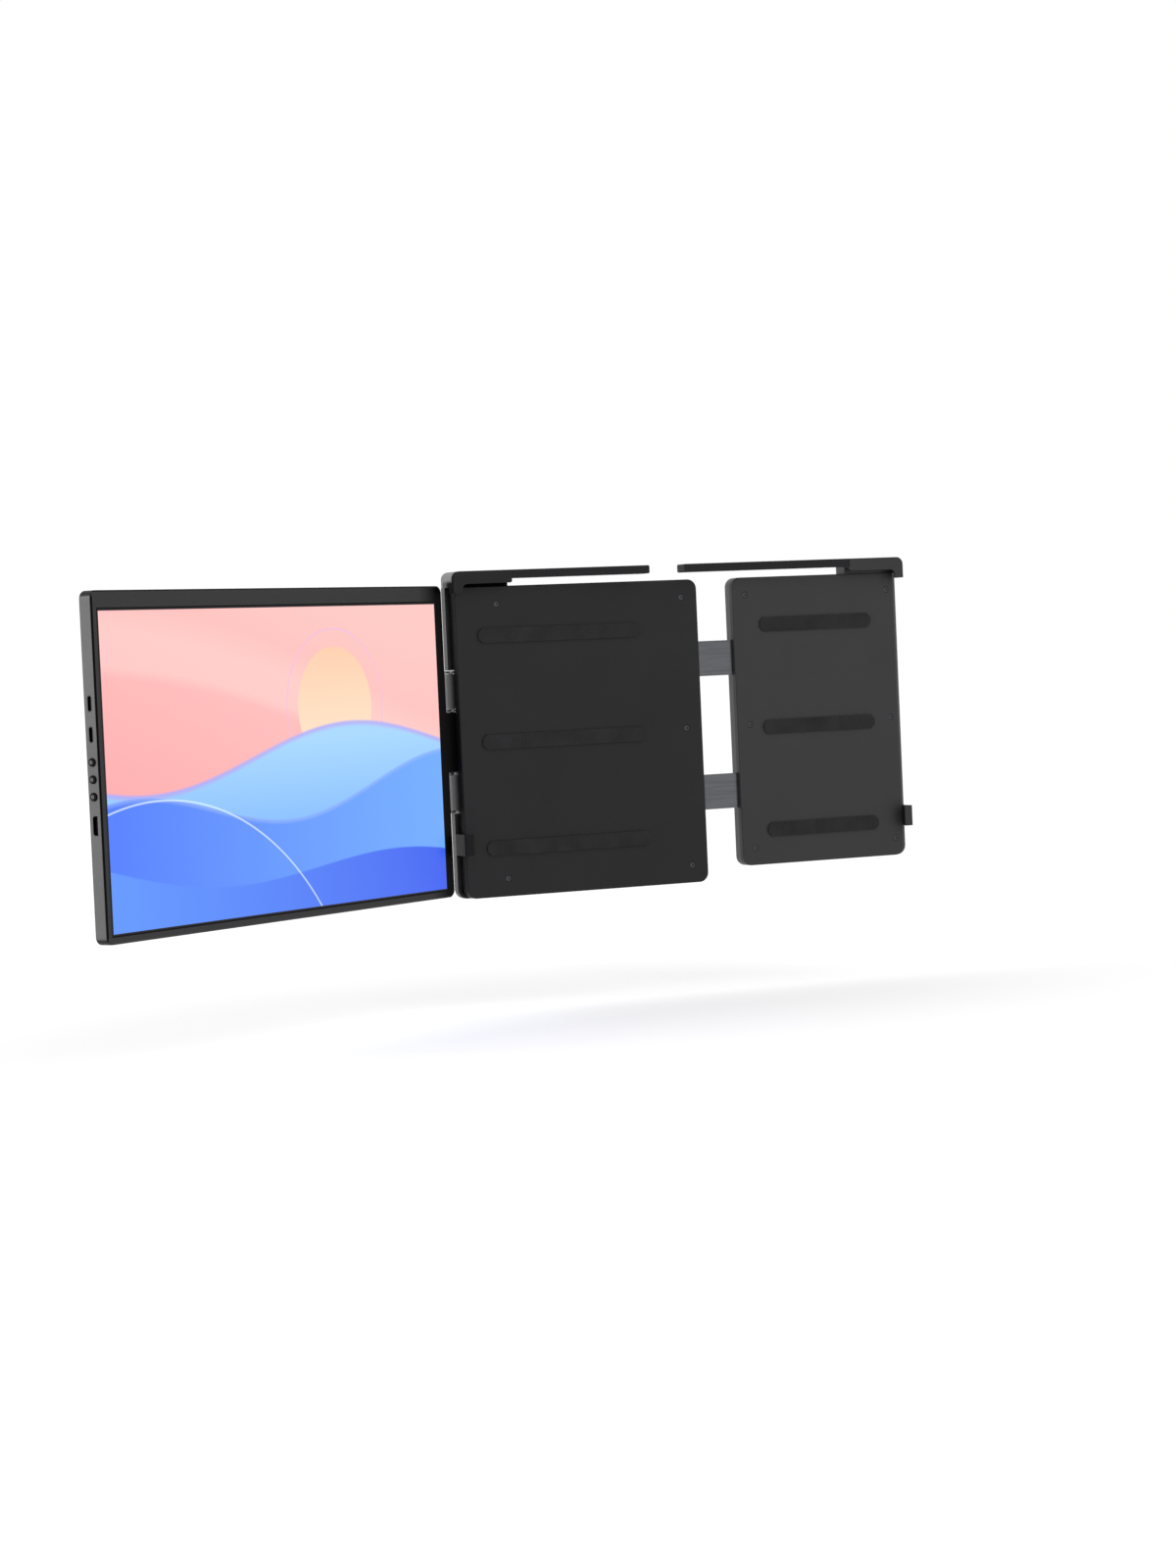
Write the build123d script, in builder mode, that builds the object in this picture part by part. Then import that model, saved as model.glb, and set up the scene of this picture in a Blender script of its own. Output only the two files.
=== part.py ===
from build123d import *
from math import cos, pi, radians, sin, tan
import os

os.makedirs("parts", exist_ok=True)

# A clip-on portable monitor: a frame that hangs on a laptop's lid, with a screen hinged at its left
# Millimetres. +X runs right along the lid, +Y points behind the lid, +Z runs up along it
# The origin is the middle of the seat pad's face, which the back of the lid rests on

# The lid that the frame is set for
lid_width = 307.4
lid_thickness = 5.0
lid_reach = 192.9  # the lid's top edge above the frame's lowest edge

# The seat pad's middle, from the lid's left edge and from the frame's lowest edge
seat_inset = 70.0
seat_height = 95.0

# Depths of the frame, from the seat backwards
pad_thickness = 1.0
cover_depth = 7.5
shell_depth = 6.5
cover_plate = 1.6
cover_wall = 1.6
shell_floor = 1.8
shell_wall = 1.8

# Outline of the housing on the left
housing_reach = 165.0  # from the lid's left edge to the housing's right edge
housing_drop = 2.9  # the housing's top edge below the lid's top edge
housing_radius = 6.0
shell_edge_chamfer = 1.2
cover_chamfer = 0.5
cover_recess = 3.2  # the cover's left edge stands back from the shell's

# Corner hooks, side clips and top bars
side_play = 0.3
hook_wall = 2.3
lip_thickness = 1.3
lip_play = 0.2
lip_overlap = 1.2
roof_play = 0.2
lining_thickness = 0.8
roof_height = 5.6
leg_drop = 6.6
leg_cover = 3.4
hook_length = 38.7
hook_radius = 4.5
hook_end_radius = 3.0
hook_front_radius = 2.0
clip_height = 13.0
clip_level = 26.8  # the clips' lower end above the frame's lowest edge
clip_cover = 3.1
clip_radius = 1.0
bar_height = 5.1
bar_depth = 9.9
bar_setback = 0.2
bar_end_radius = 1.0
left_bar_reach = 129.5  # from the lid's left edge to the bar's free end
right_bar_reach = 153.5  # from the lid's left edge to the other bar's free end

# The arm on the right and the rails that carry it
arm_gap = 3.0  # left between the housing and the arm when it is closed
arm_cover_depth = 4.0
arm_shell_depth = 7.0
arm_plate = 1.4
arm_wall = 1.6
arm_lift = 8.0  # the arm's lowest edge above the frame's
rail_thickness = 2.5
rail_height = 22.0
rail_play = 0.2
rail_chamfer = 1.0
rail_stop_play = 2.4  # left between the stops and the guides when the arm is open
rail_in_arm = 60.0
rail_front = 4.0
rail_levels_up = (56.0, 140.0)  # the rails' middles above the frame's lowest edge
guide_length = 22.0
guide_wall = 2.3
guide_depth = 5.6
stop_length = 6.0
stop_thickness = 1.5
arm_closing = 22.0
arm_opening = 85.0

# Seat pads
pad_length = 110.0
pad_width = 9.0
pad_cut = 2.6
pad_levels_up = (30.0, 95.0, 160.0)
arm_pad_length = 80.0

# The stand that folds out of the frame's back
stand_width = 84.0
stand_inset = 50.0  # from the lid's left edge
stand_height = 79.0
stand_thickness = 3.6
stand_play = 0.4
stand_lift = 3.0
stand_pocket_floor = 1.6
stand_pin_radius = 0.9
stand_pin_play = 0.05
stand_pin_bite = 4.0
stand_foot_height = 2.4
stand_foot_radius = 1.2
stand_foot_width = 66.0
stand_groove_width = 60.0
stand_groove_depth = 0.5
stand_groove_height = 3.8

# The hinge with two geared shafts, in two units one above the other
fold = 32.34  # how far the screen is turned towards the user at rest, in degrees
hinge_inset = 0.4  # the frame's shaft from the lid's left edge
hinge_depth = 3.0  # the frame's shaft in front of the frame's rear face
hinge_spacing = 6.5
hinge_radius = 4.2
hinge_play = 0.2
knuckle_radius = 3.05
hinge_height = 25.0
hinge_levels_up = (52.6, 114.4)
knuckle_height = 1.6
shaft_radius = 1.3
shaft_play = 0.05
link_wall = 0.45
gear_teeth = 13
gear_addendum = 0.35
gear_dedendum = 0.5
gear_height = 6.0
gear_backlash = 0.14
gear_pressure_angle = 20.0
gear_end_play = 0.2
notch_play = 0.3
notch_front_play = 0.9  # the links reach further forward when the screen is turned to the user
leaf_thickness = 2.0
frame_leaf_length = 21.0
screen_leaf_length = 28.0
leaf_play = 0.15

# The screen
display_width = 309.4
display_height = 174.0
bezel_left = 4.6
bezel_right = 7.4
bezel_top = 10.2
bezel_bottom = 4.8
bezel_depth = 1.2
bezel_chamfer = 0.85
window_chamfer = 0.2
screen_thickness = 9.0
screen_radius = 4.5
screen_edge_radius = 1.2
screen_wall = 1.6
screen_floor = 1.6
screen_lift = 2.2  # the screen's lowest edge above the frame's
screen_axis_depth = 3.0  # the screen's shaft in front of its rear face
screen_gap = 5.2  # from the screen's shaft to its right edge
module_width = 315.8
module_height = 185.0
module_depth = 2.4
glass_recess = 0.4  # the bezel's lip over the panel is this thick
glass_play = 0.2
tray_thickness = 0.5
tray_inset = 3.0
tray_left_inset = 15.0
module_margin = 2.3  # the panel's left edge beyond the picture's
module_lift = 2.0  # the panel's lowest edge above the screen's
module_radius = 2.6

# The ports and buttons on the screen's left edge, measured up from the display's lower edge
port_depth = 1.3  # the ports' middle line in front of the screen's shaft
usb_levels = (124.2, 107.7)
usb_width = 8.9
usb_height = 3.2
usb_wall = 0.35
usb_length = 7.3
usb_tongue = 0.7
usb_tongue_setback = 1.2
hdmi_level = 59.1
hdmi_width = 10.4
hdmi_height = 3.2
hdmi_length = 7.5
hdmi_cut = 1.0
port_play = 0.1
button_levels = (93.0, 83.8, 74.6)
button_radius = 2.25
button_proud = 0.9
button_play = 0.12
button_travel = 0.5
button_edge_chamfer = 0.3
button_flange = 0.6
button_flange_height = 0.6
button_flange_depth = 3.4
button_bay_depth = 0.7  # how deep the floor is hollowed under the buttons
switch_gap = 0.05
switch_size = 4.4
switch_length = 2.4
switch_depth = 3.0
switch_plunger_size = 1.4
switch_plunger = 0.8

# Boards and speakers inside the screen
board_width = 62.0
board_height = 104.0
board_thickness = 1.0
board_setback = 0.4
board_low = 50.0
board_lift = 2.0  # the board stands on posts this high
board_play = 0.3
connector_width = 24.0
connector_height = 4.0
connector_inset = 14.0
speaker_width = 34.0
speaker_height = 14.0
speaker_depth = 3.0
speaker_cut = 1.5
speaker_inset = 30.0
speaker_low = 12.0
speaker_cone_radius = 5.0
grille_slot = 1.2
grille_pitch = 2.8
grille_length = 24.0
tray_post_inset = 36.0  # from the screen's right, lower and upper edges
tray_post_pitch = 98.0
tray_post_columns = 3
chip_size = 12.0
chip_height = 0.8
chip_places = ((22.0, 62.0), (44.0, 34.0), (26.0, 24.0))
board_post_inset = 4.0
board_post_port_side = 14.0

# Screws
screw_radius = 1.0
screw_head_radius = 1.9
screw_head_height = 1.0
screw_length = 6.0
screw_clearance = 0.2
screw_inset_notch = 23.1
screw_inset_side = 11.0
screw_inset_arm = 9.0
screw_inset_end = 11.0
screw_middle_row = 2.0
screw_sides = 8
post_size = 4.6

# Places worked out from the sizes above
lid_left = -seat_inset
lid_right = lid_left + lid_width
frame_low = -seat_height
lid_top = frame_low + lid_reach
cover_front = pad_thickness
split = cover_front + cover_depth
rear = split + shell_depth
outer_left = lid_left - side_play - hook_wall
outer_right = lid_right + side_play + hook_wall
housing_right = lid_left + housing_reach
housing_top = lid_top - housing_drop
hook_front = -(lid_thickness + lip_play + lip_thickness)
lip_back = -(lid_thickness + lip_play)
roof = lid_top + roof_play + lining_thickness
hook_top = roof + roof_height
cover_left = outer_left + cover_recess
arm_left = housing_right + arm_gap + arm_closing
arm_cover_right = outer_right - cover_recess
arm_low = frame_low + arm_lift
arm_split = cover_front + arm_cover_depth
arm_rear = arm_split + arm_shell_depth
rail_middle = rail_front + rail_thickness / 2
rail_back = rail_front + rail_thickness
guide_right = housing_right - cover_wall
rail_left = guide_right - guide_length - arm_opening - rail_stop_play - stop_length
rail_right = arm_left + rail_in_arm
rail_levels = [frame_low + up for up in rail_levels_up]
pad_levels = [frame_low + up for up in pad_levels_up]
clip_low = frame_low + clip_level
hinge_x = lid_left + hinge_inset
hinge_y = rear - hinge_depth
hinge_levels = [frame_low + up for up in hinge_levels_up]
notch_right = hinge_x + hinge_radius + notch_play
notch_front = hinge_y - hinge_radius - notch_front_play
notch_low = hinge_levels[0] - notch_play
notch_high = hinge_levels[1] + hinge_height + notch_play
half_fold = radians(fold / 2)
screen_x = hinge_x - hinge_spacing * cos(half_fold)
screen_y = hinge_y - hinge_spacing * sin(half_fold)
screen_low = frame_low + screen_lift
screen_right = -screen_gap
screen_left = screen_right - bezel_right - display_width - bezel_left
screen_high = bezel_bottom + display_height + bezel_top
screen_rear = -screen_axis_depth
screen_front = screen_rear + screen_thickness
screen_split = screen_front - bezel_depth
screen_inside = screen_rear + screen_floor
display_left = screen_left + bezel_left
display_right = display_left + display_width
to_right = Vector(cos(radians(fold)), sin(radians(fold)), 0)
to_user = Vector(sin(radians(fold)), -cos(radians(fold)), 0)
user_axis = Axis((0, 0, 0), tuple(to_user))
right_axis = Axis((0, 0, 0), tuple(to_right))
stand_left = lid_left + stand_inset
stand_middle = stand_left + stand_width / 2
stand_low = frame_low + stand_lift
stand_axis_y = rear - stand_play / 2 - stand_thickness / 2
stand_axis_z = stand_low + stand_thickness / 2
stand_pocket = stand_axis_y - stand_thickness / 2 - stand_play
stand_high = stand_low + stand_height


def facing(y):
    """An upright plane at depth y, drawn as the user sees it."""
    return Plane.XZ.offset(-y)


def level(z):
    """A level plane at height z, drawn as seen from above."""
    return Plane.XY.offset(z)


def screen_facing(depth):
    """A plane along the screen, depth in front of its shaft, drawn as the user sees it."""
    foot = Vector(screen_x, screen_y, screen_low) + to_user * depth
    return Plane(origin=foot, x_dir=to_right, z_dir=to_user)


def screen_side(along):
    """A plane across the screen at a place along its width, seen from the left: x is towards the user."""
    foot = Vector(screen_x, screen_y, screen_low) + to_right * along
    return Plane(origin=foot, x_dir=to_user, z_dir=to_right * -1)


def block(left, right, low, high, mode=Mode.ADD):
    """A rectangle between four edges."""
    with Locations(((left + right) / 2, (low + high) / 2)):
        Rectangle(right - left, high - low, mode=mode)


def round_corners(sketch, corners):
    """Rounds the corners of a sketch nearest to each given place."""
    for x, y, radius in corners:
        fillet(sketch.vertices().sort_by_distance((x, y, 0))[0], radius)


def four_corners(left, right, low, high, radius):
    return [(x, y, radius) for x in (left, right) for y in (low, high)]


def save(name, piece):
    piece.part.label = name
    export_step(piece.part, "parts/" + name + ".step")


# Screw places of the housing and of the arm
screw_rows = (frame_low + screw_inset_end, screw_middle_row, housing_top - screw_inset_end)
housing_screws = [
    (x, z) for x in (notch_right + screw_inset_notch, housing_right - screw_inset_side) for z in screw_rows
]
arm_screw_rows = (arm_low + screw_inset_end, screw_middle_row, housing_top - screw_inset_end)
arm_screws = [
    (x, z) for x in (arm_left + screw_inset_arm, outer_right - screw_inset_arm) for z in arm_screw_rows
]

leaf_back = rear - shell_floor

# Back shell of the housing, with its walls round the stand's pocket and the hinge's notch
with BuildPart() as back_shell:
    with BuildSketch(facing(rear)) as outline:
        block(outer_left, housing_right, frame_low, housing_top)
        round_corners(
            outline,
            [
                (outer_left, frame_low, housing_radius),
                (housing_right, frame_low, housing_radius),
                (housing_right, housing_top, housing_radius),
            ],
        )
    extrude(amount=shell_depth)
    chamfer(back_shell.faces().sort_by(Axis.Y)[-1].edges(), shell_edge_chamfer)
    with BuildSketch(facing(split)) as hollow:
        edges = (
            outer_left + shell_wall,
            housing_right - shell_wall,
            frame_low + shell_wall,
            housing_top - shell_wall,
        )
        block(*edges)
        round_corners(hollow, four_corners(*edges, housing_radius - shell_wall))
    extrude(amount=-(shell_depth - shell_floor), mode=Mode.SUBTRACT)
    # Walls round the pocket and the notch, and the posts for the screws
    with BuildSketch(facing(rear - shell_floor)):
        block(
            stand_left - stand_play - shell_wall,
            stand_left + stand_width + stand_play + shell_wall,
            frame_low + shell_wall,
            stand_high + stand_play + shell_wall,
        )
    extrude(amount=rear - shell_floor - stand_pocket + stand_pocket_floor)
    with BuildSketch(facing(rear - shell_floor)):
        block(outer_left + shell_wall, notch_right + shell_wall, notch_low - shell_wall, notch_high + shell_wall)
    extrude(amount=shell_depth - shell_floor)
    with BuildSketch(facing(rear - shell_floor)):
        with Locations(*housing_screws):
            Rectangle(post_size, post_size)
    extrude(amount=rear - shell_floor - cover_front - cover_plate)
    # The pocket, open at the bottom, and the notch
    with BuildSketch(facing(stand_pocket)):
        block(
            stand_left - stand_play,
            stand_left + stand_width + stand_play,
            frame_low,
            stand_high + stand_play,
        )
    extrude(amount=-(rear - stand_pocket), mode=Mode.SUBTRACT)
    with BuildSketch(facing(split)):
        block(outer_left, notch_right, notch_low, notch_high)
    extrude(amount=-shell_depth, mode=Mode.SUBTRACT)
    # Slots for the hinge's leaves, holes for the stand's pin and for the screws
    with BuildSketch(Plane.YZ.offset(notch_right)):
        for z in hinge_levels:
            block(
                rear - shell_floor - leaf_thickness - leaf_play,
                rear - shell_floor,
                z - leaf_play,
                z + hinge_height + leaf_play,
            )
    extrude(amount=shell_wall, mode=Mode.SUBTRACT)
    with BuildSketch(Plane.YZ.offset(stand_left - stand_pin_bite)):
        with Locations((stand_axis_y, stand_axis_z)):
            Circle(stand_pin_radius)
    extrude(amount=stand_width + 2 * stand_pin_bite, mode=Mode.SUBTRACT)
    with BuildSketch(facing(cover_front + cover_plate)):
        with Locations(*housing_screws):
            RegularPolygon(screw_radius, screw_sides)
    extrude(amount=-screw_length, mode=Mode.SUBTRACT)
save("back_shell", back_shell)

# Front cover of the housing, whose left edge stands back in the shade
with BuildPart() as front_cover:
    with BuildSketch(facing(split)) as outline:
        block(cover_left, housing_right, frame_low, housing_top)
        round_corners(
            outline,
            [
                (cover_left, frame_low, housing_radius),
                (housing_right, frame_low, housing_radius),
                (housing_right, housing_top, housing_radius),
            ],
        )
    extrude(amount=cover_depth)
    chamfer(front_cover.faces().sort_by(Axis.Y)[0].edges(), cover_chamfer)
    with BuildSketch(facing(split)) as hollow:
        edges = (
            cover_left + cover_wall,
            housing_right - cover_wall,
            frame_low + cover_wall,
            housing_top - cover_wall,
        )
        block(*edges)
        round_corners(hollow, four_corners(*edges, housing_radius - cover_wall))
    extrude(amount=cover_depth - cover_plate, mode=Mode.SUBTRACT)
    with BuildSketch(Plane.YZ.offset(housing_right)):
        with Locations(*[(rail_middle, z) for z in rail_levels]):
            Rectangle(rail_thickness + 2 * rail_play, rail_height + 2 * rail_play)
    extrude(amount=-cover_wall, mode=Mode.SUBTRACT)
    with BuildSketch(facing(split)):
        block(outer_left, notch_right, notch_low, notch_high)
    extrude(amount=split - notch_front, mode=Mode.SUBTRACT)
    with BuildSketch(facing(cover_front)):
        with Locations(*housing_screws):
            RegularPolygon(screw_head_radius + screw_clearance, screw_sides)
    extrude(amount=-screw_head_height, mode=Mode.SUBTRACT)
    with BuildSketch(facing(cover_front)):
        with Locations(*housing_screws):
            RegularPolygon(screw_radius + screw_clearance, screw_sides)
    extrude(amount=-cover_plate, mode=Mode.SUBTRACT)
save("front_cover", front_cover)


def corner_hook(outer, inner, far, leg_edge, base, back):
    """A hook over a top corner of the lid: outer to far is its length, base and back are what it sits on."""
    low_x, high_x = min(outer, far), max(outer, far)
    with BuildPart() as hook:
        with BuildSketch(facing(back)) as outline:
            block(low_x, high_x, base, hook_top)
            round_corners(outline, [(outer, hook_top, hook_radius)])
        extrude(amount=back - hook_front)
        fillet(hook.faces().sort_by(Axis.Y)[-1].edges().filter_by(GeomType.LINE).sort_by(Axis.Z)[-1], hook_front_radius)
        # The leg down the lid's side edge
        with BuildSketch(facing(cover_front)):
            block(min(outer, leg_edge), max(outer, leg_edge), lid_top - leg_drop, base + roof_height)
        extrude(amount=cover_front - hook_front)
        # The room for the lid
        with BuildSketch(facing(cover_front)):
            block(min(inner, far), max(inner, far), lid_top - leg_drop, roof)
        extrude(amount=cover_front - lip_back, mode=Mode.SUBTRACT)
        # The lip's lower edge beyond the leg
        with BuildSketch(facing(lip_back)) as edge:
            block(min(leg_edge, far), max(leg_edge, far), lid_top - leg_drop, lid_top - lip_overlap)
        extrude(amount=lip_thickness, mode=Mode.SUBTRACT)
        front = hook.edges().filter_by(Axis.Y).filter_by_position(Axis.Y, hook_front - 0.1, cover_front + 0.1)
        inner_corner = front.sort_by_distance((leg_edge, hook_front, lid_top - lip_overlap))[0]
        fillet(inner_corner, hook_end_radius)
        end_corner = hook.edges().filter_by(Axis.Y).sort_by_distance((far, hook_front, lid_top - lip_overlap))[0]
        fillet(end_corner, lip_overlap)
        tip = hook.edges().filter_by(Axis.Y).sort_by_distance((leg_edge, hook_front, lid_top - leg_drop))[0]
        fillet(tip, lip_overlap)
    return hook


left_corner_hook = corner_hook(
    outer_left, lid_left - side_play, outer_left + hook_length, lid_left + leg_cover, housing_top, rear
)
save("left_corner_hook", left_corner_hook)
right_corner_hook = corner_hook(
    outer_right, lid_right + side_play, outer_right - hook_length, lid_right - leg_cover, housing_top, arm_rear
)
save("right_corner_hook", right_corner_hook)


def top_bar(left, right, free_end):
    """A slim bar that runs along the lid's top edge, clear of it."""
    with BuildPart() as bar:
        with BuildSketch(facing(hook_front + bar_setback + bar_depth)) as outline:
            block(left, right, hook_top - bar_height, hook_top)
            round_corners(outline, [(free_end, z, bar_end_radius) for z in (hook_top - bar_height, hook_top)])
        extrude(amount=bar_depth)
    return bar


left_top_bar = top_bar(outer_left + hook_length, lid_left + left_bar_reach, lid_left + left_bar_reach)
save("left_top_bar", left_top_bar)
right_top_bar = top_bar(lid_left + right_bar_reach, outer_right - hook_length, lid_left + right_bar_reach)
save("right_top_bar", right_top_bar)


def side_clip(outer, inner, lip_edge, root, back):
    """A clip over the lid's side edge near its foot, on the cover's side edge."""
    with BuildPart() as clip:
        with BuildSketch(level(clip_low)) as section:
            block(min(outer, lip_edge), max(outer, lip_edge), hook_front, lip_back)
            block(min(outer, inner), max(outer, inner), hook_front, back)
            block(min(outer, root), max(outer, root), cover_front, back)
        extrude(amount=clip_height)
        corner = clip.edges().filter_by(Axis.Z).sort_by_distance((outer, hook_front, clip_low))[0]
        fillet(corner, clip_radius)
    return clip


left_side_clip = side_clip(
    outer_left, lid_left - side_play, lid_left + clip_cover, cover_left, split
)
save("left_side_clip", left_side_clip)
right_side_clip = side_clip(
    outer_right, lid_right + side_play, lid_right - clip_cover, arm_cover_right, arm_split
)
save("right_side_clip", right_side_clip)


def hook_lining(left, right):
    """The soft lining under a hook's roof, on the lid's top edge."""
    with BuildPart() as lining:
        with BuildSketch(facing(cover_front)):
            block(left, right, roof - lining_thickness, roof)
        extrude(amount=cover_front - lip_back)
    return lining


left_hook_lining = hook_lining(lid_left - side_play, outer_left + hook_length)
save("left_hook_lining", left_hook_lining)
right_hook_lining = hook_lining(outer_right - hook_length, lid_right + side_play)
save("right_hook_lining", right_hook_lining)


def pads(middle_x, length):
    """Three soft strips that the lid's back rests on."""
    with BuildPart() as strips:
        with BuildSketch(facing(cover_front)) as outline:
            with Locations(*[(middle_x, z) for z in pad_levels]):
                Rectangle(length, pad_width)
            chamfer(outline.vertices(), pad_cut)
        extrude(amount=pad_thickness)
    return strips


seat_pads = pads(0.0, pad_length)
save("seat_pads", seat_pads)
arm_pads = pads((arm_left + arm_cover_right) / 2, arm_pad_length)
save("arm_pads", arm_pads)


def add_screw(x, z, head_y, length):
    """Adds a pan-head screw that points backwards, its head's front face at head_y."""
    with BuildSketch(facing(head_y)) as head:
        with Locations((x, z)):
            RegularPolygon(screw_head_radius, screw_sides)
    extrude(head.sketch, amount=-screw_head_height)
    with BuildSketch(facing(head_y + screw_head_height)) as stem:
        with Locations((x, z)):
            RegularPolygon(screw_radius, screw_sides)
    extrude(stem.sketch, amount=-length)


# The hinge's frame side: two brackets, whose leaves lie on the back shell's floor inside
with BuildPart() as frame_hinge_brackets:
    for z in hinge_levels:
        for low in (z, z + hinge_height - knuckle_height):
            with BuildSketch(level(low)):
                with Locations((hinge_x, hinge_y)):
                    Circle(knuckle_radius)
                block(hinge_x, notch_right, leaf_back - leaf_thickness, leaf_back)
            extrude(amount=knuckle_height)
        with BuildSketch(facing(leaf_back)) as leaf:
            block(notch_right, notch_right + frame_leaf_length, z, z + hinge_height)
        extrude(amount=leaf_thickness)
    with BuildSketch(level(hinge_levels[0])):
        with Locations((hinge_x, hinge_y)):
            Circle(shaft_radius)
    extrude(amount=hinge_levels[1] + hinge_height - hinge_levels[0], mode=Mode.SUBTRACT)
save("frame_hinge_brackets", frame_hinge_brackets)


def gear_outline(first_angle):
    """A small gear's outline round the origin, a tooth's middle at first_angle, in degrees."""
    pitch_radius = hinge_spacing / 2
    tooth = pi * hinge_spacing / gear_teeth / 2 - gear_backlash
    flank = tan(radians(gear_pressure_angle))
    steps = (
        (pitch_radius - gear_dedendum, tooth / 2 + gear_dedendum * flank),
        (pitch_radius + gear_addendum, tooth / 2 - gear_addendum * flank),
    )
    points = []
    for tooth_number in range(gear_teeth):
        middle = radians(first_angle) + 2 * pi * tooth_number / gear_teeth
        low, high = [(radius, half / radius) for radius, half in steps]
        for radius, angle in ((low[0], -low[1]), (high[0], -high[1]), high, low):
            points.append((radius * cos(middle + angle), radius * sin(middle + angle)))
    return points


def geared_shafts(x, y, first_angle):
    """A shaft through both hinge units, with a gear in the middle of each."""
    with BuildPart() as shafts:
        with BuildSketch(level(hinge_levels[0])):
            with Locations((x, y)):
                Circle(shaft_radius)
        extrude(amount=hinge_levels[1] + hinge_height - hinge_levels[0])
        for z in hinge_levels:
            with BuildSketch(level(z + gear_start)):
                with BuildLine():
                    Polyline(*[(x + px, y + py) for px, py in gear_outline(first_angle)], close=True)
                make_face()
            extrude(amount=gear_height)
    return shafts


link_start = knuckle_height + hinge_play
gear_start = (hinge_height - gear_height) / 2
frame_hinge_shafts = geared_shafts(hinge_x, hinge_y, 180 + fold / 2)
save("frame_hinge_shafts", frame_hinge_shafts)
screen_hinge_shafts = geared_shafts(screen_x, screen_y, fold / 2 + 180 / gear_teeth)
save("screen_hinge_shafts", screen_hinge_shafts)


def link_outline(z, radius):
    """The link's outline round both shafts, on a level plane."""
    with BuildSketch(level(z)) as outline:
        with Locations(((hinge_x + screen_x) / 2, (hinge_y + screen_y) / 2)):
            SlotCenterToCenter(hinge_spacing, 2 * radius, rotation=fold / 2)
    return outline.sketch


def link_bores(z):
    """The bores for both shafts, on a level plane."""
    with BuildSketch(level(z)) as bores:
        with Locations((hinge_x, hinge_y), (screen_x, screen_y)):
            Circle(shaft_radius + shaft_play)
    return bores.sketch


# The links that hold the gears in mesh: an open housing and a cap in each unit
gear_room_low = gear_start - gear_end_play
gear_room_high = gear_start + gear_height + gear_end_play
with BuildPart() as hinge_links:
    for z in hinge_levels:
        extrude(link_outline(z + link_start, hinge_radius), amount=gear_room_high - link_start)
        room = link_outline(z + gear_room_low, hinge_radius - link_wall)
        extrude(room, amount=gear_room_high - gear_room_low, mode=Mode.SUBTRACT)
        extrude(link_bores(z + link_start), amount=hinge_height - 2 * link_start, mode=Mode.SUBTRACT)
save("hinge_links", hinge_links)
with BuildPart() as hinge_link_caps:
    for z in hinge_levels:
        cap = link_outline(z + gear_room_high, hinge_radius)
        extrude(cap, amount=hinge_height - link_start - gear_room_high)
        extrude(link_bores(z + link_start), amount=hinge_height - 2 * link_start, mode=Mode.SUBTRACT)
save("hinge_link_caps", hinge_link_caps)

# The spine, which covers both shafts between the two units
spine_low = hinge_levels[0] + hinge_height + hinge_play
spine_high = hinge_levels[1] - hinge_play
with BuildPart() as hinge_spine:
    extrude(link_outline(spine_low, hinge_radius), amount=spine_high - spine_low)
    extrude(link_bores(spine_low), amount=spine_high - spine_low, mode=Mode.SUBTRACT)
save("hinge_spine", hinge_spine)

# The hinge's screen side
screen_leaf_right = -(hinge_radius + 3 * notch_play)
screen_hinge_levels = [z - screen_low for z in hinge_levels]
with BuildPart() as screen_hinge_brackets:
    for z in hinge_levels:
        for low in (z, z + hinge_height - knuckle_height):
            with BuildSketch(level(low)):
                with Locations((screen_x, screen_y)):
                    Circle(knuckle_radius)
            extrude(amount=knuckle_height)
            with BuildSketch(screen_facing(screen_inside)):
                block(screen_leaf_right, 0, low - screen_low, low - screen_low + knuckle_height)
            extrude(amount=leaf_thickness)
    with BuildSketch(screen_facing(screen_inside)):
        for z in screen_hinge_levels:
            block(-screen_leaf_length, screen_leaf_right, z, z + hinge_height)
    extrude(amount=leaf_thickness)
    with BuildSketch(level(hinge_levels[0])):
        with Locations((screen_x, screen_y)):
            Circle(shaft_radius)
    extrude(amount=hinge_levels[1] + hinge_height - hinge_levels[0], mode=Mode.SUBTRACT)
save("screen_hinge_brackets", screen_hinge_brackets)

# Screws of the housing, through the cover into the posts
with BuildPart() as frame_screws:
    for x, z in housing_screws:
        add_screw(x, z, cover_front, screw_length)
save("frame_screws", frame_screws)

# The stand: a flap that lies in the back shell's pocket and turns about two short pins at its foot
with BuildPart() as stand_flap:
    with BuildSketch(Plane.YZ.offset(stand_left)):
        with Locations((stand_axis_y, stand_axis_z)):
            Circle(stand_thickness / 2)
        block(
            stand_axis_y - stand_thickness / 2,
            stand_axis_y + stand_thickness / 2,
            stand_axis_z,
            stand_high - stand_foot_height,
        )
    extrude(amount=stand_width)
    with BuildSketch(Plane.YZ.offset(stand_left)):
        with Locations((stand_axis_y, stand_axis_z)):
            Circle(stand_pin_radius + stand_pin_play)
    extrude(amount=stand_width, mode=Mode.SUBTRACT)
    with BuildSketch(facing(stand_axis_y + stand_thickness / 2)):
        with Locations((stand_middle, (stand_axis_z + stand_high) / 2)):
            SlotOverall(stand_groove_width, stand_groove_height)
    extrude(amount=stand_groove_depth, mode=Mode.SUBTRACT)
save("stand_flap", stand_flap)
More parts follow.
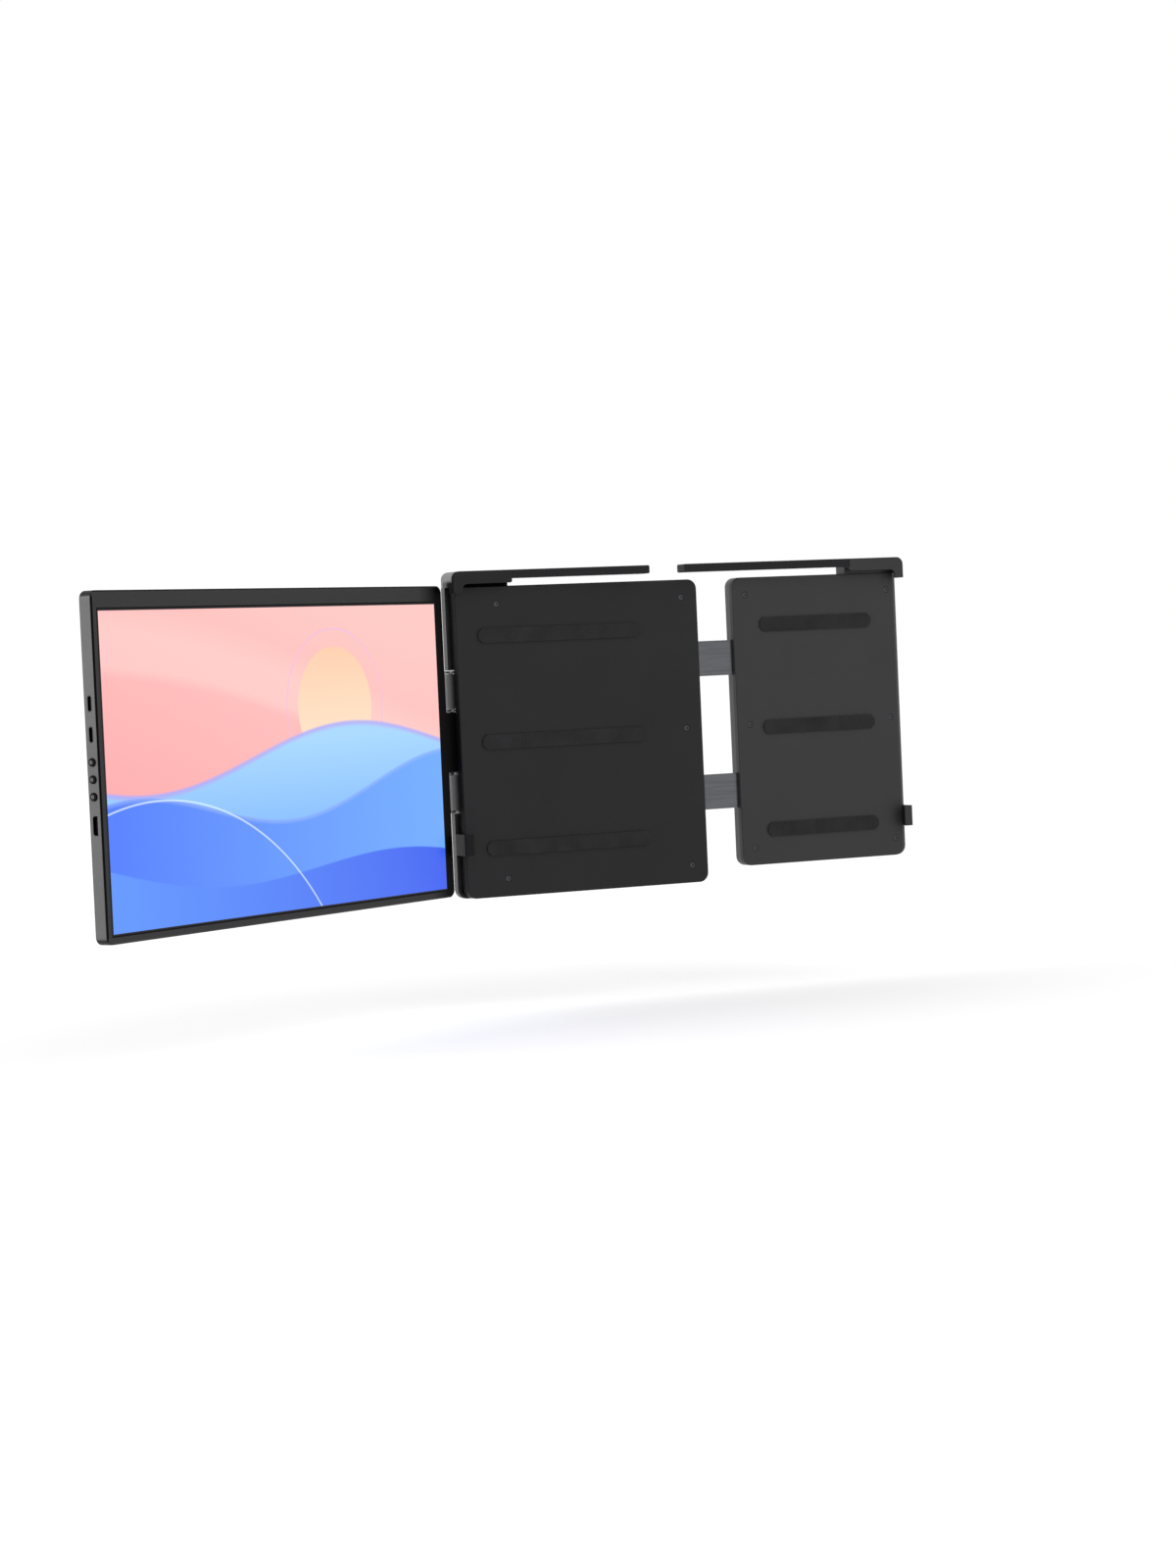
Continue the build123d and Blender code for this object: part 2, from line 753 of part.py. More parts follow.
with BuildPart() as stand_foot:
    with BuildSketch(facing(stand_axis_y + stand_thickness / 2)):
        block(
            stand_middle - stand_foot_width / 2,
            stand_middle + stand_foot_width / 2,
            stand_high - stand_foot_height,
            stand_high,
        )
    extrude(amount=stand_thickness)
    fillet(stand_foot.edges().filter_by(Axis.X).sort_by(Axis.Z)[-2:], stand_foot_radius)
save("stand_foot", stand_foot)
with BuildPart() as stand_pins:
    for low in (stand_left - stand_play - shell_wall, stand_left + stand_width - stand_pin_bite):
        with BuildSketch(Plane.YZ.offset(low)):
            with Locations((stand_axis_y, stand_axis_z)):
                Circle(stand_pin_radius)
        extrude(amount=shell_wall + stand_play + stand_pin_bite)
save("stand_pins", stand_pins)

# Guides in the housing that the rails run through
with BuildPart() as rail_guides:
    with BuildSketch(Plane.YZ.offset(guide_right)):
        for z in rail_levels:
            block(
                cover_front + cover_plate,
                cover_front + cover_plate + guide_depth,
                z - rail_height / 2 - rail_play - guide_wall,
                z + rail_height / 2 + rail_play + guide_wall,
            )
        with Locations(*[(rail_middle, z) for z in rail_levels]):
            Rectangle(rail_thickness + 2 * rail_play, rail_height + 2 * rail_play, mode=Mode.SUBTRACT)
    extrude(amount=-guide_length)
save("rail_guides", rail_guides)

# The rails and the stops that keep them in the guides
with BuildPart() as slide_rails:
    with BuildSketch(facing(rail_back)):
        for z in rail_levels:
            block(rail_left, rail_right, z - rail_height / 2, z + rail_height / 2)
    extrude(amount=rail_thickness)
    chamfer(slide_rails.edges().filter_by(Axis.Y), rail_chamfer)
save("slide_rails", slide_rails)
with BuildPart() as rail_stops:
    with BuildSketch(facing(rail_back + stop_thickness)):
        for z in rail_levels:
            block(
                rail_left,
                rail_left + stop_length,
                z - rail_height / 2 - guide_wall,
                z + rail_height / 2 + guide_wall,
            )
    extrude(amount=stop_thickness)
save("rail_stops", rail_stops)

# Back shell of the arm, with bosses for the rails and posts for the screws
with BuildPart() as arm_shell:
    edges = (arm_left, outer_right, arm_low, housing_top)
    with BuildSketch(facing(arm_rear)) as outline:
        block(*edges)
        round_corners(
            outline,
            [
                (arm_left, arm_low, housing_radius),
                (arm_left, housing_top, housing_radius),
                (outer_right, arm_low, housing_radius),
            ],
        )
    extrude(amount=arm_shell_depth)
    chamfer(arm_shell.faces().sort_by(Axis.Y)[-1].edges(), shell_edge_chamfer)
    with BuildSketch(facing(arm_split)) as hollow:
        edges = (arm_left + arm_wall, outer_right - arm_wall, arm_low + arm_wall, housing_top - arm_wall)
        block(*edges)
        round_corners(hollow, four_corners(*edges, housing_radius - arm_wall))
    extrude(amount=-(arm_shell_depth - arm_plate), mode=Mode.SUBTRACT)
    with BuildSketch(facing(arm_rear - arm_plate)):
        for z in rail_levels:
            block(arm_left + 2 * arm_wall, rail_right, z - rail_height / 2, z + rail_height / 2)
    extrude(amount=arm_rear - arm_plate - rail_back)
    with BuildSketch(facing(arm_rear - arm_plate)):
        with Locations(*arm_screws):
            Rectangle(post_size, post_size)
    extrude(amount=arm_rear - arm_plate - cover_front - arm_plate)
    with BuildSketch(Plane.YZ.offset(arm_left)):
        for z in rail_levels:
            block(arm_split, rail_back, z - rail_height / 2, z + rail_height / 2)
    extrude(amount=arm_wall, mode=Mode.SUBTRACT)
    with BuildSketch(facing(cover_front + arm_plate)):
        with Locations(*arm_screws):
            RegularPolygon(screw_radius, screw_sides)
    extrude(amount=-screw_length, mode=Mode.SUBTRACT)
save("arm_shell", arm_shell)

# Front cover of the arm
with BuildPart() as arm_cover:
    edges = (arm_left, arm_cover_right, arm_low, housing_top)
    with BuildSketch(facing(arm_split)) as outline:
        block(*edges)
        round_corners(
            outline,
            [
                (arm_left, arm_low, housing_radius),
                (arm_left, housing_top, housing_radius),
                (arm_cover_right, arm_low, housing_radius),
            ],
        )
    extrude(amount=arm_cover_depth)
    chamfer(arm_cover.faces().sort_by(Axis.Y)[0].edges(), cover_chamfer)
    with BuildSketch(facing(arm_split)) as hollow:
        edges = (arm_left + arm_wall, arm_cover_right - arm_wall, arm_low + arm_wall, housing_top - arm_wall)
        block(*edges)
        round_corners(hollow, four_corners(*edges, housing_radius - arm_wall))
    extrude(amount=arm_cover_depth - arm_plate, mode=Mode.SUBTRACT)
    with BuildSketch(Plane.YZ.offset(arm_left)):
        for z in rail_levels:
            block(rail_front, arm_split, z - rail_height / 2, z + rail_height / 2)
    extrude(amount=arm_wall, mode=Mode.SUBTRACT)
    with BuildSketch(facing(cover_front)):
        with Locations(*arm_screws):
            RegularPolygon(screw_head_radius + screw_clearance, screw_sides)
    extrude(amount=-screw_head_height, mode=Mode.SUBTRACT)
    with BuildSketch(facing(cover_front)):
        with Locations(*arm_screws):
            RegularPolygon(screw_radius + screw_clearance, screw_sides)
    extrude(amount=-arm_plate, mode=Mode.SUBTRACT)
save("arm_cover", arm_cover)
with BuildPart() as arm_screw_set:
    for x, z in arm_screws:
        add_screw(x, z, cover_front, screw_length)
save("arm_screws", arm_screw_set)

# Places inside the screen, along its width, up from its lowest edge and in front of its shaft
screen_edges = (screen_left, screen_right, 0.0, screen_high)
screen_room = (screen_left + screen_wall, screen_right - screen_wall, screen_wall, screen_high - screen_wall)
panel_front = screen_front - glass_recess
panel_back = panel_front - module_depth
tray_back = panel_back - tray_thickness
module_left = display_left - module_margin
module_edges = (module_left, module_left + module_width, module_lift, module_lift + module_height)
usb_heights = [bezel_bottom + up for up in usb_levels]
button_heights = [bezel_bottom + up for up in button_levels]
hdmi_height_up = bezel_bottom + hdmi_level
board_left = screen_left + screen_wall + board_setback
board_back = screen_inside + board_lift
board_front = board_back + board_thickness
board_posts = [
    (board_left + x, board_low + z)
    for x in (board_post_port_side, board_width - board_post_inset)
    for z in (board_post_inset, board_height - board_post_inset)
]
plunger_left = screen_left + screen_wall + button_flange_height + button_travel + switch_gap
switch_left = plunger_left + switch_plunger
bay_right = switch_left + switch_length
bay_low = button_heights[-1] - button_radius - 2 * button_flange
bay_high = button_heights[0] + button_radius + 2 * button_flange
tray_posts = [
    (screen_right - tray_post_inset - step * tray_post_pitch, z)
    for step in range(tray_post_columns)
    for z in (tray_post_inset, screen_high - tray_post_inset)
]
speaker_lefts = (screen_left + speaker_inset, screen_right - speaker_inset - speaker_width)


def usb_outline(along, z, grow):
    """A USB-C port's outline on a plane across the screen."""
    with BuildSketch(screen_side(along)) as outline:
        with Locations((port_depth, z)):
            SlotOverall(usb_width + 2 * grow, usb_height + 2 * grow, rotation=90)
    return outline.sketch


def hdmi_outline(along, grow):
    """The mini HDMI port's outline, with two cut corners, on a plane across the screen."""
    with BuildSketch(screen_side(along)) as outline:
        with Locations((port_depth, hdmi_height_up)):
            Rectangle(hdmi_height + 2 * grow, hdmi_width + 2 * grow)
        chamfer(outline.vertices().sort_by(Axis.X)[:2], hdmi_cut)
    return outline.sketch


# Back shell of the screen
with BuildPart() as screen_back_shell:
    with BuildSketch(screen_facing(screen_split)) as outline:
        block(*screen_edges)
        round_corners(outline, four_corners(*screen_edges, screen_radius))
    extrude(amount=screen_rear - screen_split)
    fillet(screen_back_shell.faces().sort_by(user_axis)[0].edges(), screen_edge_radius)
    with BuildSketch(screen_facing(screen_split)) as hollow:
        block(*screen_room)
        round_corners(hollow, four_corners(*screen_room, screen_radius - screen_wall))
    extrude(amount=screen_inside - screen_split, mode=Mode.SUBTRACT)
    # Posts for the board and the tray
    with BuildSketch(screen_facing(screen_inside)):
        with Locations(*board_posts):
            Rectangle(post_size, post_size)
    extrude(amount=board_lift)
    with BuildSketch(screen_facing(screen_inside)):
        with Locations(*tray_posts):
            Rectangle(post_size, post_size)
    extrude(amount=tray_back - screen_inside)
    # Openings for the ports and buttons, and the hollow that lets the buttons move
    for z in usb_heights:
        extrude(usb_outline(screen_left, z, port_play), amount=-screen_wall, mode=Mode.SUBTRACT)
    extrude(hdmi_outline(screen_left, port_play), amount=-screen_wall, mode=Mode.SUBTRACT)
    with BuildSketch(screen_side(screen_left)):
        with Locations(*[(port_depth, z) for z in button_heights]):
            Circle(button_radius + button_play)
    extrude(amount=-screen_wall, mode=Mode.SUBTRACT)
    with BuildSketch(screen_facing(screen_inside)):
        block(screen_left + screen_wall, switch_left, bay_low, bay_high)
    extrude(amount=-button_bay_depth, mode=Mode.SUBTRACT)
    # Slots for the hinge's leaves and the speakers' grilles
    with BuildSketch(screen_side(screen_right)):
        for z in screen_hinge_levels:
            block(
                screen_inside,
                screen_inside + leaf_thickness + leaf_play,
                z - leaf_play,
                z + hinge_height + leaf_play,
            )
    extrude(amount=screen_wall, mode=Mode.SUBTRACT)
    with BuildSketch(screen_facing(screen_inside)):
        for left in speaker_lefts:
            with Locations((left + speaker_width / 2, speaker_low + speaker_height / 2)):
                with GridLocations(1, grille_pitch, 1, 4):
                    Rectangle(grille_length, grille_slot)
    extrude(amount=-screen_floor, mode=Mode.SUBTRACT)
save("screen_back_shell", screen_back_shell)

# Front bezel: a frame whose lip holds the panel
with BuildPart() as front_bezel:
    with BuildSketch(screen_facing(screen_split)) as outline:
        block(*screen_edges)
        round_corners(outline, four_corners(*screen_edges, screen_radius))
    extrude(amount=bezel_depth)
    chamfer(front_bezel.faces().sort_by(user_axis)[-1].edges(), bezel_chamfer)
    with BuildSketch(screen_facing(screen_split)) as pocket:
        left, right, low, high = module_edges
        edges = (left - glass_play, right + glass_play, low - glass_play, high + glass_play)
        block(*edges)
        round_corners(pocket, four_corners(*edges, module_radius))
    extrude(amount=panel_front - screen_split, mode=Mode.SUBTRACT)
    with BuildSketch(screen_facing(panel_front)):
        block(display_left, display_right, bezel_bottom, bezel_bottom + display_height)
    extrude(amount=glass_recess, mode=Mode.SUBTRACT)
    window = front_bezel.faces().sort_by(user_axis)[-1].inner_wires()[0]
    chamfer(window.edges(), window_chamfer)
save("front_bezel", front_bezel)

# The display panel, and the tray that backs it
with BuildPart() as display_panel:
    with BuildSketch(screen_facing(panel_back)) as panel:
        block(*module_edges)
        round_corners(panel, four_corners(*module_edges, module_radius))
    extrude(amount=module_depth)
save("display_panel", display_panel)
with BuildPart() as backlight_tray:
    with BuildSketch(screen_facing(tray_back)):
        left, right, low, high = module_edges
        block(left + tray_left_inset, right - tray_inset, low + tray_inset, high - tray_inset)
    extrude(amount=tray_thickness)
save("backlight_tray", backlight_tray)

# The ports on the screen's left edge
with BuildPart() as usb_c_ports:
    for z in usb_heights:
        extrude(usb_outline(screen_left, z, 0.0), amount=-usb_length)
        extrude(usb_outline(screen_left, z, -usb_wall), amount=-(usb_length - usb_wall), mode=Mode.SUBTRACT)
        with BuildSketch(screen_side(screen_left + usb_length - usb_wall)):
            with Locations((port_depth, z)):
                Rectangle(usb_tongue, usb_width - usb_height)
        extrude(amount=usb_length - usb_wall - usb_tongue_setback)
save("usb_c_ports", usb_c_ports)
with BuildPart() as mini_hdmi_port:
    extrude(hdmi_outline(screen_left, 0.0), amount=-hdmi_length)
    extrude(hdmi_outline(screen_left, -usb_wall), amount=-(hdmi_length - usb_wall), mode=Mode.SUBTRACT)
    with BuildSketch(screen_side(screen_left + hdmi_length - usb_wall)):
        with Locations((port_depth, hdmi_height_up)):
            Rectangle(usb_tongue, hdmi_width - hdmi_height)
    extrude(amount=hdmi_length - usb_wall - usb_tongue_setback)
save("mini_hdmi_port", mini_hdmi_port)


def push_button(z):
    """A round button with a flange inside the wall."""
    with BuildPart() as button:
        with BuildSketch(screen_side(screen_left - button_proud)):
            with Locations((port_depth, z)):
                Circle(button_radius)
        extrude(amount=-(button_proud + screen_wall))
        chamfer(button.faces().sort_by(right_axis)[0].edges(), button_edge_chamfer)
        with BuildSketch(screen_side(screen_left + screen_wall)):
            with Locations((port_depth, z)):
                Rectangle(button_flange_depth, 2 * (button_radius + button_flange))
        extrude(amount=-button_flange_height)
    return button


power_button = push_button(button_heights[0])
save("power_button", power_button)
up_button = push_button(button_heights[1])
save("up_button", up_button)
down_button = push_button(button_heights[2])
save("down_button", down_button)

# The switches that the buttons press
with BuildPart() as button_switches:
    for z in button_heights:
        with BuildSketch(screen_side(switch_left)):
            with Locations((port_depth, z)):
                Rectangle(switch_depth, switch_size)
        extrude(amount=-switch_length)
        with BuildSketch(screen_side(switch_left)):
            with Locations((port_depth, z)):
                Rectangle(switch_plunger_size, switch_plunger_size)
        extrude(amount=switch_plunger)
save("button_switches", button_switches)

# The main board, cut out round the ports and the switches
with BuildPart() as main_board:
    with BuildSketch(screen_facing(board_back)):
        block(board_left, board_left + board_width, board_low, board_low + board_height)
        for z in usb_heights:
            half = usb_width / 2 + board_play
            block(board_left, screen_left + usb_length, z - half, z + half, mode=Mode.SUBTRACT)
        half = hdmi_width / 2 + board_play
        block(
            board_left,
            screen_left + hdmi_length,
            hdmi_height_up - half,
            hdmi_height_up + half,
            mode=Mode.SUBTRACT,
        )
        block(board_left, bay_right, bay_low, bay_high, mode=Mode.SUBTRACT)
    extrude(amount=board_thickness)
save("main_board", main_board)
with BuildPart() as board_chips:
    with BuildSketch(screen_facing(board_front)):
        with Locations(*[(board_left + x, board_low + z) for x, z in chip_places]):
            Rectangle(chip_size, chip_size)
    extrude(amount=chip_height)
    chamfer(board_chips.faces().sort_by(user_axis)[-3:].edges(), chip_height / 4)
save("board_chips", board_chips)
with BuildPart() as display_connector:
    with BuildSketch(screen_facing(board_front)):
        with Locations((board_left + board_width - connector_inset, board_low + board_height * 0.7)):
            Rectangle(connector_height, connector_width)
    extrude(amount=tray_back - board_front)
save("display_connector", display_connector)

# Two speakers behind their grilles
with BuildPart() as speakers:
    with BuildSketch(screen_facing(screen_inside)) as boxes:
        for left in speaker_lefts:
            block(left, left + speaker_width, speaker_low, speaker_low + speaker_height)
        chamfer(boxes.vertices(), speaker_cut)
    extrude(amount=speaker_depth)
    with BuildSketch(screen_facing(screen_inside + speaker_depth)):
        with Locations(*[(left + speaker_width / 2, speaker_low + speaker_height / 2) for left in speaker_lefts]):
            Circle(speaker_cone_radius)
    extrude(amount=-speaker_depth / 4, mode=Mode.SUBTRACT)
save("speakers", speakers)
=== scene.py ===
from math import cos, pi, radians, sin

import bmesh
import bpy
from mathutils import Matrix, Vector


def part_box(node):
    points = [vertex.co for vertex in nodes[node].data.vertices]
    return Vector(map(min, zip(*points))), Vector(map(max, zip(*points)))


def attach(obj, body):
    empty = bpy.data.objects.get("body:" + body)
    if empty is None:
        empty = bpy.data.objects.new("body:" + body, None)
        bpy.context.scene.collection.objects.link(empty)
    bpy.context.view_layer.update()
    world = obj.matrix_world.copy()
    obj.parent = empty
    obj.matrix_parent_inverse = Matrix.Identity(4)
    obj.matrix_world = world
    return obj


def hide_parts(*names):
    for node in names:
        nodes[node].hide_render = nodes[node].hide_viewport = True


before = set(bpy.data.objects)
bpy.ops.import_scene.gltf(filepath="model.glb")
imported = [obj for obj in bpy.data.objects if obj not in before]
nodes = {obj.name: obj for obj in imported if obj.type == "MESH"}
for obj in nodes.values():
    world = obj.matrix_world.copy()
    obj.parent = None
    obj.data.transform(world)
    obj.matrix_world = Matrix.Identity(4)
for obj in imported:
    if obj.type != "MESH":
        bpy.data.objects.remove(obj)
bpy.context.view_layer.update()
MM = 0.001

# The same places as in the part's source, in millimetres
FOLD = radians(32.34)
LID_LEFT = -70.0
FRAME_LOW = -95.0
FRAME_SHAFT_X = LID_LEFT + 0.4
FRAME_SHAFT_Y = 12.0
HINGE_SPACING = 6.5
SHAFT_X = FRAME_SHAFT_X - HINGE_SPACING * cos(FOLD / 2)
SHAFT_Y = FRAME_SHAFT_Y - HINGE_SPACING * sin(FOLD / 2)

# The screen, along its width from its shaft and up from the frame's foot
SCREEN_LEFT = -326.6
SCREEN_RIGHT = -5.2
SCREEN_FRONT = 6.0
SCREEN_HEIGHT = 189.0
SCREEN_LOW = FRAME_LOW + 2.2
SCREEN_HIGH = SCREEN_LOW + SCREEN_HEIGHT
SCREEN_CORNER = 4.5
BEZEL_CHAMFER = 0.85
BEZEL_LIP = 0.9
DISPLAY_LEFT = SCREEN_LEFT + 4.6
DISPLAY_LOW = SCREEN_LOW + 4.8
DISPLAY_WIDTH = 309.4
DISPLAY_HEIGHT = 174.0
BUTTON_LEVEL = 74.6
BUTTON_PITCH = 9.2
BUTTON_DEPTH = 1.0

# Where the screen's paint changes: painted shade at its end by the hinge and on its corners, the buttons'
# discs, the ports' rims
SHADE_START = SCREEN_RIGHT - 24.0
SHADE_END = SCREEN_RIGHT - 7.0
BEZEL_SIDE = SCREEN_FRONT - BEZEL_CHAMFER - 0.05
CORNER_REACH = 3.4
CORNER_FADE = 0.8
BUTTON_DISC = 1.1
BUTTON_FACE = SCREEN_LEFT - 0.85
PORT_RIM = SCREEN_LEFT + 0.12

# Where the housing's paint changes: painted shade, black on the ledge and on the rear of its left side
LEDGE_DEPTH = 8.7
LEDGE_END = LID_LEFT + 12.0
EDGE_DEPTH = 12.9
EDGE_END = LID_LEFT - 1.4

# Fades of the left hook's painted light and shade, in shares of its depth
HOOK_SIDE_HALF_LIT = (0.44, 0.62)
HOOK_SIDE_LIT = (0.78, 0.84)
HOOK_TOP_LIT = (0.12, 0.18)
# Its rounding, from and to below its top, and how deep its front face is, in millimetres
HOOK_ROUNDING = (7.0, 5.0)
HOOK_FACE = 0.04

# Fades of the links' painted highlight and shade, in shares of their width
LINK_HIGHLIGHT = (0.02, 0.22)
LINK_SHADE = (0.5, 0.8)

# The fine grain of plastic and paint: how many to the metre and how deep in metres
FINE_GRAIN = 2600.0
FINE_DEPTH = 0.00003

# The floor's level, its glow near the object and far from it, and the distances in metres
FLOOR_LEVEL = -165.0
FLOOR_SIZE = 60.0
NEAR_GLOW = 0.22
FAR_GLOW = 0.35
GLOW_NEAR = 0.5
GLOW_FAR = 3.0

# The world's strength where it lights, and where it is seen or mirrored
WORLD_LIGHT = 0.75
WORLD_SEEN = 1.0


def linear(*colour):
    """A display colour of 0 to 255 as a linear one."""
    out = [((c / 255 + 0.055) / 1.055) ** 2.4 if c > 10 else c / 255 / 12.92 for c in colour]
    return (*out, 1.0)


def tinted(colour, factor):
    """A linear colour made darker or lighter."""
    return tuple(min(1.0, c * factor) for c in colour[:3]) + (1.0,)


class Shader:
    """A material's node tree, built by short calls."""

    def __init__(self, name):
        self.material = bpy.data.materials.new(name)
        self.material.use_nodes = True
        self.tree = self.material.node_tree
        self.surface = self.tree.nodes["Principled BSDF"]

    def node(self, kind, **settings):
        made = self.tree.nodes.new(kind)
        for key, value in settings.items():
            setattr(made, key, value)
        return made

    def put(self, value, socket):
        if isinstance(value, bpy.types.NodeSocket):
            self.tree.links.new(value, socket)
        else:
            socket.default_value = value

    def math(self, operation, a, b=0.0, c=0.0, clamp=False):
        made = self.node("ShaderNodeMath", operation=operation, use_clamp=clamp)
        for value, socket in zip((a, b, c), made.inputs):
            self.put(value, socket)
        return made.outputs[0]

    def add(self, a, b, clamp=False):
        return self.math("ADD", a, b, clamp=clamp)

    def less(self, a, b, clamp=False):
        return self.math("SUBTRACT", a, b, clamp=clamp)

    def times(self, a, b):
        return self.math("MULTIPLY", a, b)

    def over(self, a, b, clamp=False):
        return self.math("DIVIDE", a, b, clamp=clamp)

    def absolute(self, a):
        return self.math("ABSOLUTE", a)

    def below(self, value, limit):
        """1 where a value is below a limit, else 0."""
        return self.math("LESS_THAN", value, limit)

    def above(self, value, limit):
        """1 where a value is above a limit, else 0."""
        return self.math("GREATER_THAN", value, limit)

    def share(self, value, low, high):
        """How far a value has come from one limit to another, from 0 to 1."""
        return self.over(self.less(value, low), high - low, clamp=True)

    def mix(self, amount, a, b, how="MIX"):
        made = self.node("ShaderNodeMix", data_type="RGBA", blend_type=how)
        self.put(amount, made.inputs["Factor"])
        self.put(a, made.inputs[6])
        self.put(b, made.inputs[7])
        return made.outputs[2]

    def place(self):
        return self.node("ShaderNodeTexCoord").outputs["Object"]

    def axes(self):
        """The three coordinates of a point, in metres."""
        split = self.node("ShaderNodeSeparateXYZ")
        self.put(self.place(), split.inputs[0])
        return split.outputs

    def blend(self, value, low, high, first, second):
        """One colour below a limit, another above a second limit, and a fade between them."""
        return self.mix(self.share(value, low, high), first, second)

    def noise(self, scale, detail=2.0, stretch=None):
        made = self.node("ShaderNodeTexNoise")
        made.inputs["Scale"].default_value = scale
        made.inputs["Detail"].default_value = detail
        where = self.place()
        if stretch:
            scaled = self.node("ShaderNodeMapping")
            scaled.inputs["Scale"].default_value = stretch
            self.put(where, scaled.inputs["Vector"])
            where = scaled.outputs[0]
        self.put(where, made.inputs["Vector"])
        return made.outputs["Fac"]

    def spread(self, value, low, high):
        """The middle range of a noise, spread between two limits."""
        made = self.node("ShaderNodeMapRange")
        self.put(value, made.inputs["Value"])
        made.inputs["From Min"].default_value = 0.3
        made.inputs["From Max"].default_value = 0.7
        made.inputs["To Min"].default_value = low
        made.inputs["To Max"].default_value = high
        return made.outputs[0]

    def bump(self, height, distance, strength=1.0):
        made = self.node("ShaderNodeBump")
        made.inputs["Strength"].default_value = strength
        made.inputs["Distance"].default_value = distance
        self.put(height, made.inputs["Height"])
        self.tree.links.new(made.outputs[0], self.surface.inputs["Normal"])


def moulded(name, colour, roughness, specular=0.5):
    """Spark-eroded plastic: a fine grain, and faint patches where it was handled."""
    shader = Shader(name)
    fine = shader.noise(FINE_GRAIN, 3.0)
    wide = shader.noise(28.0, 4.0)
    speckle = shader.mix(shader.spread(fine, 0.0, 1.0), tinted(colour, 0.88), tinted(colour, 1.12))
    shader.put(speckle, shader.surface.inputs["Base Color"])
    shader.put(shader.spread(wide, roughness - 0.05, roughness + 0.06), shader.surface.inputs["Roughness"])
    shader.surface.inputs["Specular IOR Level"].default_value = specular
    shader.bump(fine, FINE_DEPTH, 0.5)
    return shader.material


def metal(name, colour, roughness, grain=3000.0, stretch=None, metallic=1.0, specular=0.5):
    """Blasted metal, or brushed metal where stretch draws its grain out."""
    shader = Shader(name)
    fine = shader.noise(grain, 3.0, stretch)
    wide = shader.noise(22.0, 3.0)
    speckle = shader.mix(shader.spread(fine, 0.0, 1.0), tinted(colour, 0.86), tinted(colour, 1.12))
    shader.put(speckle, shader.surface.inputs["Base Color"])
    shader.put(shader.spread(wide, roughness - 0.04, roughness + 0.05), shader.surface.inputs["Roughness"])
    shader.surface.inputs["Metallic"].default_value = metallic
    shader.surface.inputs["Specular IOR Level"].default_value = specular
    shader.bump(fine, 0.00002, 0.5)
    return shader.material


def rubber(name, colour, rib=0.0):
    """Soft matt rubber with a fine bloom, and fine ribs where rib gives their number per metre."""
    shader = Shader(name)
    height = shader.noise(1500.0, 4.0)
    wide = shader.noise(60.0, 3.0)
    light = tuple(c * 1.5 + 0.004 for c in colour[:3]) + (1.0,)
    bloom = shader.mix(shader.spread(wide, 0.0, 1.0), colour, light)
    shader.put(bloom, shader.surface.inputs["Base Color"])
    shader.surface.inputs["Roughness"].default_value = 0.85
    shader.surface.inputs["Specular IOR Level"].default_value = 0.3
    if rib:
        wave = shader.math("SINE", shader.times(shader.axes()[0], rib * 2 * pi))
        height = shader.add(shader.times(wave, 1.2), height)
    shader.bump(height, 0.0001, 0.6)
    return shader.material


def board(name):
    """Green solder mask with copper tracks under it."""
    shader = Shader(name)
    tracks = shader.node("ShaderNodeTexBrick")
    tracks.inputs["Scale"].default_value = 180.0
    tracks.inputs["Mortar Size"].default_value = 0.012
    shader.put(shader.place(), tracks.inputs["Vector"])
    green = shader.mix(tracks.outputs["Fac"], linear(18, 74, 44), linear(40, 112, 66))
    shader.put(green, shader.surface.inputs["Base Color"])
    shader.surface.inputs["Roughness"].default_value = 0.35
    shader.bump(tracks.outputs["Fac"], 0.00003, 0.4)
    return shader.material


